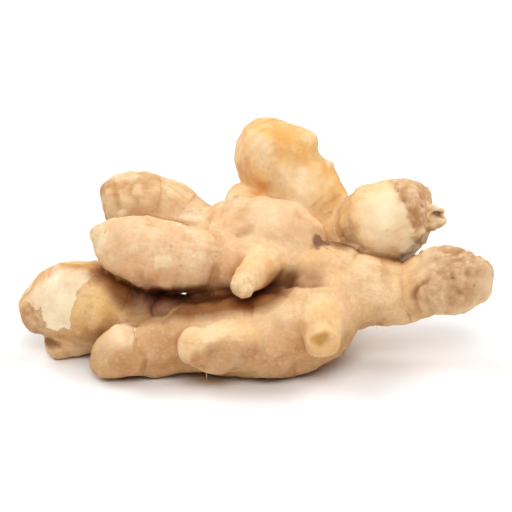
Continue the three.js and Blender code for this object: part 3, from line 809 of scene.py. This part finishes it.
GROOVES = [
    ([(3.6, -9.6, 26), (8.6, -8, 25.2), (11.5, -10.6, 26.4), (14.4, -12.8, 27.3), (20.5, -12.8, 27.2)],
     1.1, 0.8),
    ([(-28.6, -13.1, 30.6), (-28.2, -13.2, 29.6), (-27.6, -12.6, 28.0)], 0.9, 0.45),
    ([(-35.6, -9.6, 27.4), (-31, -10.6, 26.2), (-27, -11, 25.6)], 1.1, 0.4),
    ([(12.7, -22.0, 22.0), (13.0, -25.0, 19.8), (13.8, -27.2, 17.2)], 1.1, 0.7),
    ([(57.4, -13.8, 26.2), (59.4, -14.2, 25.6), (61.0, -13.9, 26.3)], 1.0, 0.5),
    ([(51.2, -12.2, 28.8), (48, -11, 26.6), (46.7, -10.6, 23.4), (47.2, -10.7, 20.2), (48.4, -10.8, 17.4)],
     1.2, 1.2),
    ([(-13, -30.9, 14.4), (-8.4, -30.9, 14.6), (-3.6, -30.3, 13.6), (0.4, -29.2, 12.8)], 1.0, 0.4),
    ([(-11, -30.9, 12.6), (-6.4, -30.6, 12.2), (-2.8, -30, 11.6)], 0.8, 0.3),
]
print(len(RIDGES), "ridges and", len(GROOVES), "grooves")

# %% [markdown]
# All the relief is added up in millimetres and moves each vertex once, outward or inward. Real skin is
# thin, so the sum is kept within a little over a millimetre and the root keeps the size of its CAD solid.

# %% The relief
DEEPEST = -1.3
HIGHEST = 1.2
PRESSED = 0.1  # skin lower than this lies flat on the table
step_height = np.clip((ring_size - 3.5) / 7, 0.12, 1)
lift = 0.42 * step_height * cuff + 0.12 * step_height * bulge
lift += 0.07 * wrinkle
lift += 0.13 * neck_lines
lift += 0.16 * slow + 0.24 * mottle * (1 - 0.5 * peeled) + 0.16 * rough(rows, 2.6, 78) * (1 - 0.6 * peeled)
lift += 1.25 * cork * crust + 0.4 * knob * rough(rows, 4.5, 88)
lift += 0.22 * knob * smoothstep(55, 61, x) * noise(rows, (1.1, 5.0, 6.0), 90)
lift += 0.35 * part(STUB, BUD, NUB, soft=2) * rough(rows, 2.6, 89) + 0.5 * bud_tip * rough(rows, 1.6, 91)
lift += 0.9 * cap_shreds * rough(rows, 1.9, 92) - 1.2 * stem_gap
lift += 1.1 * dab((23.4, 25.4, 53.2), 1.1, 1.2)
lift += 0.45 * dab((-22.0, -6.0, 21.5), 5.0, 3.0)
lift += splinters * (1.2 * rough(rows, 2.0, 87) + 0.3 * crust - 0.2)
lift += 0.2 * arcs
lift += 0.55 * warts * (wart_bumps - 0.4)
lift += worn * (0.5 * crust + 0.25 * noise(rows, 1.6, 97) - 0.35)
lift += 0.5 * lobe_cap
lift += peeled * (0.2 * rough(rows, 3.0, 94) - 0.22)
lift += 0.3 * worn_rim * dab((-8.5, -30.4, 13.9), 9.5, 4) * (1 - worn)
lift += 0.45 * stub_rim * dab((19.4, -30.2, 17.2), 4.4, 2.0)
lift -= 0.6 * np.clip(pits + 0.6 * pores, 0, 1)
lift += 0.6 * scar * (0.6 + noise(rows, 1.2, 98))
for index, (points, width, height) in enumerate(RIDGES):
    lift += ridge(points, width, height, 101 + index)
for index, (points, width, depth) in enumerate(GROOVES):
    lift -= ridge(points, width, depth, 121 + index)
ragged = dab((-33.4, -7.6, 25.4), 2.6, 2.0, 1.5, 1.5, 108) * (0.4 + noise(rows, 1.1, 109))
lift += 0.7 * np.clip(ragged, 0, 1)
lift = np.clip(lift, DEEPEST, HIGHEST)

rows = rows + lift[:, None] * outward
rows[:, 2] = np.where(rows[:, 2] < PRESSED, 0, rows[:, 2])
store(rows)
fine.shade_smooth()
print("relief from", round(float(lift.min()), 2), "to", round(float(lift.max()), 2), "mm")

# %% [markdown]
# The creases between fingers are painted darker, as painted shade. How deep in a crease a vertex lies is
# read from the distance itself: a little way out along the outward direction, open skin is that far from
# the root, and the bottom of a crease isn't. Skin with root above it is painted darker the same way, as
# painted shadow.

# %% Attributes for the paint
# Painted shade: how deep in a crease a vertex lies darkens its colour.
crease_shade = np.zeros(count)
for reach, weight in ((1.2, 0.3), (3.0, 0.4), (7.0, 0.3)):
    crease_shade += weight * np.clip(1 - skin(rows + reach * outward) / reach, 0, 1)
crease_shade = evened(crease_shade, 3)
# Painted shadow: skin with root above it, and the front finger under the long finger, is painted darker.
overhang_shadow = np.zeros(count)
for reach, weight in ((5.0, 0.3), (10.0, 0.4), (16.0, 0.3)):
    above = rows + reach * (np.array([0, 0.3, 0.95]) + 0.5 * outward)
    overhang_shadow += weight * np.clip(1 - skin(above) / (0.6 * reach), 0, 1)
overhang_shadow = evened(overhang_shadow, 4) * smoothstep(-0.4, 0.3, outward[:, 2]) * smoothstep(40, 30, z)
overhang_shadow = np.maximum(overhang_shadow, part(FRONT, BRANCH, STUB, soft=3) * smoothstep(15.0, 6.0, under_long))
crease_shade = crease_shade * (1 - 0.7 * part(RIGHT, TOP, TOP_END, SHOULDER))
fine_relief = 0.42 * step_height * cuff + 0.12 * wrinkle + 0.3 * mottle + 0.8 * cork * crust
fine_relief += 0.5 * warts * (wart_bumps - 0.4)
rootlet_share = 0.06 * smoothstep(20, 12, z) * smoothstep(0.2, -0.2, outward[:, 2]) + 0.02 * (y > 12)
rootlet_share += 1.0 * dab((20.2, -28.6, 11.6), 1.6, 0.6)
rootlet_share = np.clip(rootlet_share * smoothstep(3.0, 4.0, z) * (1 - peeled) * (1 - lobe_face), 0, 1)
# The split between the splinters is painted dark as well as sunk in: painted shade.
dark = np.maximum.reduce([0.7 * pits, 0.45 * pores, 0.85 * scar, 0.75 * dark_bud, 0.8 * stem_gap])
fields = {
    "warm": warm,
    "band": band,
    "pink": pink,
    "pale_and_painted_light": pale_and_painted_light,
    "brown_and_shade": brown_and_shade,
    "cork": cork,
    "bruise": np.clip(np.maximum(bruise, 0.6 * worn), 0, 1),
    "dark": np.clip(dark, 0, 1),
    "hollow": hollow,
    "raised": np.clip(0.5 + fine_relief, 0, 1),
    "crease_shade": np.clip(crease_shade, 0, 1),
    "overhang_shadow": np.clip(overhang_shadow, 0, 1),
    "painted_gap_shade": painted_gap_shade,
    "film": film,
    "fresh": 0.5 + 0.5 * part(LEFT, soft=3),
    "gloss": np.clip(peeled * part(LEFT) + 0.5 * top + 0.3 * lobe_face + 0.3 * part(LEFT), 0, 1),
    "smooth": np.clip(lobe_face + 0.6 * top + 0.4 * part(DOME, STUB, BUD), 0, 1),
    "rootlet_share": rootlet_share,
    # Besides the bare patches, this mask holds painted light on the lower part of the cap.
    "bare_and_painted_light": np.clip(tip_patch + 0.7 * scuff + 0.7 * lobe_face + 0.6 * cap_shreds + painted_light_low_on_cap, 0, 1),
    "peeled_mm": peeled_mm,
}
for name, values in fields.items():
    layer = fine.attributes.new(name, "FLOAT", "POINT")
    layer.data.foreach_set("value", values.astype(np.float32))
vectors = {
    "grain": grain / 1000,
    "scars": np.stack([turns, ring_size, strength * apart], axis=1),
}
for name, values in vectors.items():
    layer = fine.attributes.new(name, "FLOAT_VECTOR", "POINT")
    layer.data.foreach_set("vector", values.astype(np.float32).ravel())
print(len(fields) + len(vectors), "attributes; deep in a crease:", round(float((crease_shade > 0.6).mean()), 3))

# %% [markdown]
# The shader is written as sums and products. A small class wraps a node's output, and its operators add
# Math nodes, so that a mask reads like the formula it is.


# %% Shader arithmetic
class Value:
    """An output in a node tree. Arithmetic with numbers or other values adds Math nodes."""

    def __init__(self, tree, socket):
        self.tree = tree
        self.socket = socket

    def math(self, operation, *others, clamp=False):
        node = self.tree.nodes.new("ShaderNodeMath")
        node.operation = operation
        node.use_clamp = clamp
        for slot, item in zip(node.inputs, (self, *others)):
            connect(self.tree, slot, item)
        return Value(self.tree, node.outputs[0])

    def __add__(self, other):
        return self.math("ADD", other)

    def __sub__(self, other):
        return self.math("SUBTRACT", other)

    def __mul__(self, other):
        return self.math("MULTIPLY", other)

    def __rsub__(self, other):
        return (self * -1) + other

    __radd__ = __add__
    __rmul__ = __mul__

    def clamp(self):
        """Cut off below 0 and above 1."""
        return self.math("ADD", 0.0, clamp=True)

    def between(self, low, high):
        """0 below low, 1 above high and rising evenly between them."""
        return ((self - low) * (1 / (high - low))).clamp()


def connect(tree, slot, item):
    """Links a value or a node's output to a socket, or sets the socket to a number."""
    if isinstance(item, Value):
        tree.links.new(item.socket, slot)
    elif isinstance(item, bpy.types.NodeSocket):
        tree.links.new(item, slot)
    elif item is not None:
        slot.default_value = item


# A Mix node's colour sockets go by number, because its plain number sockets have the same names
MIX_COLOURS = (6, 7)
MIX_RESULT = 2


class Tree:
    """Adds any node: its settings first, then its sockets by name or number."""

    def __init__(self, tree):
        self.tree = tree

    def node(self, kind, settings=None, output=0, by_number=None, **sockets):
        made = self.tree.nodes.new(kind)
        for key, setting in (settings or {}).items():
            setattr(made, key, setting)
        for number, item in (by_number or {}).items():
            connect(self.tree, made.inputs[number], item)
        for key, item in sockets.items():
            connect(self.tree, made.inputs[key.replace("_", " ")], item)
        return None if output is None else Value(self.tree, made.outputs[output])

    def attribute(self, name):
        return self.node("ShaderNodeAttribute", {"attribute_name": name}, output="Fac")

    def vector(self, name):
        return self.node("ShaderNodeAttribute", {"attribute_name": name}, output="Vector")

    def parts(self, vector):
        """The three numbers of a vector."""
        first = self.node("ShaderNodeSeparateXYZ", Vector=vector)
        return [Value(self.tree, socket) for socket in first.socket.node.outputs]

    def mix(self, share, first, second, blend="MIX"):
        """A colour between two, each a colour or a value."""
        colours = [(*colour, 1.0) if isinstance(colour, tuple) else colour for colour in (first, second)]
        ends = dict(zip(MIX_COLOURS, colours))
        settings = {"data_type": "RGBA", "clamp_factor": True, "blend_type": blend}
        return self.node("ShaderNodeMix", settings, output=MIX_RESULT, by_number=ends, Factor=share)

    def multiply(self, share, first, second):
        """A colour made darker by another."""
        return self.mix(share, first, second, "MULTIPLY")


# %% [markdown]
# Ginger skin is a thin tan film over pale yellow flesh. Light goes a few millimetres into it, which
# softens shadows and reddens creases, so the shader scatters light below the surface by a constant
# amount. Over the masks go fine things that no mesh can hold: fibres along the finger, thin brown lines at
# the ring scars, freckles and blotches. Fibres are a noise stretched along the finger's own direction.

# %% Noises of the paint
material = bpy.data.materials.new("ginger_skin")
material.use_nodes = True
tree = material.node_tree
tree.nodes.clear()
paint = Tree(tree)
place = paint.node("ShaderNodeTexCoord", output="Object")
grain_place = paint.vector("grain")
turns_here, ring_here, scar_strength = paint.parts(paint.vector("scars"))
mask = {name: paint.attribute(name) for name in fields if name != "rootlet_share"}


def cloud(vector, scale, detail=3.0, roughness=0.55, distortion=0.0):
    """A noise with its own scale."""
    return paint.node("ShaderNodeTexNoise", Vector=vector, Scale=scale, Detail=detail, Roughness=roughness,
                      Distortion=distortion)


def layered(colour, *layers, blend=paint.mix):
    """A colour with others laid over it in turn, each by its own share."""
    for share, over in layers:
        colour = blend(share, colour, over)
    return colour


def along_the_finger(scale):
    """A noise with its own scale along the finger and round it."""
    stretched = paint.node("ShaderNodeMapping", Vector=grain_place, Scale=scale)
    return cloud(stretched, 1.0, 4.0, 0.6, 0.9)


fibres = along_the_finger((140.0, 1500.0, 50.0))
fine_fibres = along_the_finger((420.0, 3600.0, 50.0))
streaks = along_the_finger((60.0, 420.0, 50.0))
hoops = along_the_finger((520.0, 45.0, 50.0))
blotches = cloud(place, 90.0, 4.0, 0.6)
patches = cloud(place, 260.0, 4.0, 0.62)
grit = cloud(place, 900.0, 3.0, 0.6)
dust = cloud(place, 2600.0, 2.0, 0.6)
freckle_cells = paint.node("ShaderNodeTexVoronoi", Vector=place, Scale=430.0, Randomness=1.0)
freckles = (1.0 - freckle_cells.between(0.08, 0.26)) * blotches.between(0.48, 0.62)

# %% [markdown]
# The colours are laid over one another like thin washes, each as strong as its mask and broken up by a
# noise, because no colour on a root is even. The freckles and the brown of the breaks come last, on top.

# %% Skin, cork and flesh
TAN = (0.84, 0.530, 0.260)
ORANGE = (0.88, 0.530, 0.180)
DEEP_ORANGE = (0.84, 0.370, 0.055)
PINK = (0.82, 0.500, 0.280)
PALE = (0.95, 0.765, 0.500)
BROWN = (0.50, 0.245, 0.085)
CORK = (0.80, 0.530, 0.310)
CORK_GAP = (0.50, 0.270, 0.130)
BRUISE = (0.55, 0.300, 0.165)
DARK = (0.130, 0.050, 0.032)
OLIVE = (0.55, 0.290, 0.065)
FIBRE = (0.62, 0.360, 0.165)
FLESH = (0.93, 0.770, 0.550)
# The four tints below are painted shade, multiplied into the colour: in low relief, in creases, deep in gaps
# and under overhangs.
LOW_RELIEF_SHADE_TINT = (0.80, 0.660, 0.500)
CREASE_SHADE_TINT = (0.58, 0.360, 0.200)
DEEP_SHADE_TINT = (0.22, 0.085, 0.030)
OVERHANG_SHADOW_TINT = (0.38, 0.240, 0.140)
GOLD = (0.72, 0.370, 0.120)

rough_share = 1.0 - 0.8 * mask["smooth"]
mottling = patches.between(0.40, 0.62) * 0.6 + grit.between(0.4, 0.6) * 0.5
cork_colour = paint.mix(grit.between(0.35, 0.65) * mask["raised"].between(0.2, 0.7), CORK_GAP, CORK)
skin_colour = layered(
    TAN,
    (mask["pink"], PINK),
    (mask["warm"] * (0.65 + 0.6 * blotches), ORANGE),
    (mask["band"] * (0.35 + 0.8 * blotches), DEEP_ORANGE),
    (blotches.between(0.46, 0.7) * 0.5, PALE),
    (patches.between(0.5, 0.68) * 0.3, PALE),
    (mask["pale_and_painted_light"] * (0.55 + 0.7 * patches), PALE),
    (mask["brown_and_shade"] * (0.35 + 0.9 * patches), BROWN),
    (streaks.between(0.48, 0.75) * 0.2, FIBRE),
    (hoops.between(0.52, 0.74) * 0.06, BROWN),
    ((1.0 - patches).between(0.52, 0.72) * rough_share * 0.32, FIBRE),
    (grit.between(0.52, 0.72) * rough_share * 0.3, FIBRE),
    ((1.0 - grit).between(0.52, 0.72) * rough_share * 0.22, PALE),
    (mask["cork"] * (0.5 + 0.7 * grit), cork_colour),
    (mask["bruise"] * (0.1 + 0.8 * mottling), BRUISE),
    (fibres.between(0.52, 0.75) * rough_share * 0.24, FIBRE),
    (fine_fibres.between(0.52, 0.75) * rough_share * 0.2, PALE),
    (mask["bare_and_painted_light"] * (0.5 + 0.5 * patches), PALE),
    (freckles * (0.25 + 0.4 * mask["cork"]), BROWN),
)

# %% [markdown]
# A ring scar is a thin brown line where the skin steps down. Its distance is found from the number of
# turns of the scars along the finger, which is a whole number on each scar. A little grit added to that
# number frays the line. The torn edge of the skin works the same way, from the distance to the edge.

# %% Scar lines, torn edges and creases
frayed = turns_here + (grit - 0.5) * 0.10 + (patches - 0.5) * 0.16
scar_distance = frayed.math("PINGPONG", 0.5) * ring_here
scar_line = (1.0 - scar_distance.between(0.10, 0.50)) * scar_strength * patches.between(0.36, 0.56)
scar_band = (1.0 - scar_distance.between(0.2, 2.4)) * scar_strength
skin_colour = layered(skin_colour, (scar_band * 0.22, FIBRE), (scar_line * 0.6, BROWN))
edge_mm = mask["peeled_mm"] + (patches - 0.5) * 2.2 + (grit - 0.5) * 1.2
torn = edge_mm.between(-0.10, 0.14)
torn_edge = 1.0 - edge_mm.math("ABSOLUTE").between(0.02, 0.42)
flesh_colour = layered(
    PALE,
    (streaks.between(0.42, 0.72), FLESH),
    (blotches.between(0.45, 0.65) * 0.5, PINK),
    (patches.between(0.52, 0.7) * 0.3, GOLD),
    (fibres.between(0.55, 0.8) * 0.25, FIBRE),
    (mask["film"] * (0.4 + 0.9 * patches), GOLD),
)
colour = layered(
    skin_colour,
    (torn * mask["fresh"], flesh_colour),
    (torn_edge * (mask["fresh"] - 0.45) * 0.7, BROWN),
    (mask["hollow"] * (0.7 + 0.5 * patches), OLIVE),
    # Painted highlight: the raised relief is made paler.
    (mask["raised"].between(0.55, 1.0) * 0.3, PALE),
)
# Painted shade: low relief, creases, gaps and skin under overhangs are multiplied darker.
colour = layered(
    colour,
    (1.0 - mask["raised"].between(0.1, 0.5), LOW_RELIEF_SHADE_TINT),
    (mask["crease_shade"].between(0.2, 0.75) * (0.7 + 0.5 * patches), CREASE_SHADE_TINT),
    (mask["crease_shade"].between(0.65, 0.95) * 0.5, DEEP_SHADE_TINT),
    (mask["overhang_shadow"].between(0.35, 0.9), OVERHANG_SHADOW_TINT),
    (mask["painted_gap_shade"] * (0.8 + 0.3 * mask["crease_shade"]), DEEP_SHADE_TINT),
    blend=paint.multiply,
)
colour = paint.mix(mask["dark"].between(0.1, 0.9) * (0.55 + 0.5 * grit), colour, DARK)

# %% [markdown]
# The bump adds what is too fine even for the fine mesh: the fibres, the grain of the cork, the step down
# from skin to flesh at a torn edge. Flesh is a little glossy, cork is dull.

# %% The shader of the skin
BUMP_DEPTH = 0.0006
BUMP_STRENGTH = 0.55
roughness = 0.50 + 0.22 * mask["cork"] + 0.3 * mask["dark"] - 0.2 * mask["gloss"] + 0.14 * patches
height = fibres * 0.5 + fine_fibres * 0.3 + grit * (0.3 + 1.1 * mask["cork"])
height = (height + dust * (0.2 + 0.3 * mask["cork"]) + 0.3 * streaks) * rough_share
height = height - torn * 0.7 - scar_line * 0.5
bump = paint.node("ShaderNodeBump", Strength=BUMP_STRENGTH, Distance=BUMP_DEPTH, Height=height)

shader = paint.node(
    "ShaderNodeBsdfPrincipled",
    Base_Color=colour,
    Roughness=roughness.clamp(),
    Normal=bump,
    Coat_Weight=mask["gloss"] * 0.5,
    Coat_Roughness=0.25,
    Specular_IOR_Level=0.2,
    Subsurface_Weight=0.3,
    Subsurface_Radius=(1.0, 0.45, 0.2),
    Subsurface_Scale=0.0025,
)
paint.node("ShaderNodeOutputMaterial", output=None, Surface=shader)
fine.materials.clear()
fine.materials.append(material)
body.name = "ginger_root"
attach(body, "root")
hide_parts("rhizome")
print(len(tree.nodes), "nodes in the skin's paint")

# %% [markdown]
# Where roots grew, a few dry threads a millimetre or two long are left, most of them low on the root.
# They could be modelled one by one, but they repeat and they follow the skin, so Geometry Nodes plants
# them: points scattered over the skin by a mask, on each a bent tapering thread, turned the way the skin
# faces and sunk into it by its lower end.

# %% Rootlets
ROOTLET_SIZES = {
    "Rootlets per square metre": ("NodeSocketFloat", 90000.0),
    "Length": ("NodeSocketFloat", 0.0017),
    "Thickness share": ("NodeSocketFloat", 0.11),
    "Seed": ("NodeSocketInt", 11),
}
grower = bpy.data.node_groups.new("rootlets", "GeometryNodeTree")
grower.interface.new_socket("Geometry", in_out="INPUT", socket_type="NodeSocketGeometry")
grower.interface.new_socket("Geometry", in_out="OUTPUT", socket_type="NodeSocketGeometry")
identifiers = {}
for name, (kind, _) in ROOTLET_SIZES.items():
    identifiers[name] = grower.interface.new_socket(name, in_out="INPUT", socket_type=kind).identifier
thread_material = bpy.data.materials.new("dry_rootlet")
thread_material.use_nodes = True
thread_paint = Tree(thread_material.node_tree)
thread_place = thread_paint.node("ShaderNodeTexCoord", output="Object")
thread_cloud = thread_paint.node("ShaderNodeTexNoise", Vector=thread_place, Scale=700.0)
thread_colour = thread_paint.mix(thread_cloud, PALE, FIBRE)
thread_shader = thread_material.node_tree.nodes["Principled BSDF"]
connect(thread_material.node_tree, thread_shader.inputs["Base Color"], thread_colour)
thread_shader.inputs["Roughness"].default_value = 0.7

grow = Tree(grower)
asked = grow.node("NodeGroupInput").socket.node.outputs
share_here = grow.node("GeometryNodeInputNamedAttribute", {"data_type": "FLOAT"}, Name="rootlet_share")
density = share_here * Value(grower, asked["Rootlets per square metre"])
points = grow.node("GeometryNodeDistributePointsOnFaces", Mesh=asked["Geometry"], Density=density,
                   Seed=asked["Seed"])
bend = grow.node("GeometryNodeCurveQuadraticBezier", Resolution=5, Start=(0, 0, -0.35), Middle=(0.1, 0, 0.45),
                 End=(0.5, 0, 1))
narrowing = 1.0 - 0.7 * grow.node("GeometryNodeSplineParameter")
ring = grow.node("GeometryNodeCurvePrimitiveCircle", {"mode": "RADIUS"}, Resolution=5,
                 Radius=asked["Thickness share"])
thread = grow.node("GeometryNodeCurveToMesh", Curve=bend, Profile_Curve=ring, Scale=narrowing,
                   Fill_Caps=True)
stretch = grow.node("FunctionNodeRandomValue", {"data_type": "FLOAT_VECTOR"}, Min=(0.6, 0.6, 0.4),
                    Max=(1.1, 1.1, 1.2), Seed=asked["Seed"])
stretch = grow.node("ShaderNodeVectorMath", {"operation": "SCALE"}, Vector=stretch, Scale=asked["Length"])
planted = grow.node("GeometryNodeInstanceOnPoints", Points=points, Instance=thread,
                    Rotation=points.socket.node.outputs["Rotation"], Scale=stretch)
lean = grow.node("FunctionNodeRandomValue", {"data_type": "FLOAT_VECTOR"}, Min=(-0.6, -0.6, 0),
                 Max=(0.6, 0.6, 2 * math.pi), Seed=asked["Seed"])
planted = grow.node("GeometryNodeRotateInstances", Instances=planted, Rotation=lean)
planted = grow.node("GeometryNodeRealizeInstances", Geometry=planted)
planted = grow.node("GeometryNodeSetMaterial", Geometry=planted, Material=thread_material)
grow.node("NodeGroupOutput", output=None, Geometry=planted)

rootlets = placed("rootlets", fine)
planter = rootlets.modifiers.new("rootlets", "NODES")
planter.node_group = grower
for name, (_, value) in ROOTLET_SIZES.items():
    planter[identifiers[name]] = value
threads = evaluated(rootlets)
rootlets.modifiers.clear()
rootlets.data = threads
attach(rootlets, "root")
print(len(threads.polygons), "faces on the rootlets")

# %% [markdown]
# The root lies on a white table that runs out of sight, with soft lights all round it, the strongest in
# front, so that its shadow is faint. The camera stands well back, a little above the root, with a long lens.

# %% Table, light and camera
TABLE_HALF = 3.0
table_mesh = bpy.data.meshes.new("table")
corners = [(TABLE_HALF * right, TABLE_HALF * back, 0) for right, back in ((-1, -1), (1, -1), (1, 1), (-1, 1))]
table_mesh.from_pydata(corners, [], [(0, 1, 2, 3)])
table = placed("table", table_mesh)
white = bpy.data.materials.new("table_white")
white.use_nodes = True
white.node_tree.nodes["Principled BSDF"].inputs["Base Color"].default_value = (0.93, 0.93, 0.93, 1)
white.node_tree.nodes["Principled BSDF"].inputs["Roughness"].default_value = 0.9
table_mesh.materials.append(white)

LIGHT_AIM = Vector((0, 0, 0.03))
# Each light's name, place, width in metres and power in watts
SOFT_LIGHTS = [
    ("above", (0, 0, 1.2), 0.9, 1.5),
    ("left", (-0.9, 0.1, 1.0), 0.8, 6.3),
    ("right", (0.9, 0.1, 1.0), 0.8, 7.2),
    ("front", (0, -0.9, 1.0), 0.8, 10.2),
    ("back left", (-0.7, 0.7, 0.9), 0.6, 5.8),
    ("back right", (0.7, 0.7, 0.9), 0.6, 3.2),
]
for name, stand, width, watts in SOFT_LIGHTS:
    lamp = bpy.data.lights.new(name, "AREA")
    lamp.shape = "DISK"
    lamp.size = width
    lamp.energy = watts
    holder = placed(name, lamp)
    holder.location = stand
    holder.rotation_euler = (LIGHT_AIM - Vector(stand)).to_track_quat("-Z", "Y").to_euler()

SKY_STRENGTH = 0.06
world = bpy.data.worlds.new("studio")
world.use_nodes = True
world.node_tree.nodes["Background"].inputs["Color"].default_value = (1, 1, 1, 1)
world.node_tree.nodes["Background"].inputs["Strength"].default_value = SKY_STRENGTH
bpy.context.scene.world = world
bpy.context.scene.view_settings.view_transform = "Standard"

LENS = 0.120
SENSOR_MM = 36
DISTANCE = 0.522
ELEVATION = math.radians(20)
LOOKED_AT = (0, 10, 28.4)
target = Vector((np.array(LOOKED_AT) - MIDDLE) / 1000)
camera_data = bpy.data.cameras.new("camera")
camera_data.lens = 1000 * LENS
camera_data.sensor_width = SENSOR_MM
camera = placed("camera", camera_data)
camera.location = target + DISTANCE * Vector((0, -math.cos(ELEVATION), math.sin(ELEVATION)))
camera.rotation_euler = (math.pi / 2 - ELEVATION, 0, 0)
bpy.context.scene.camera = camera
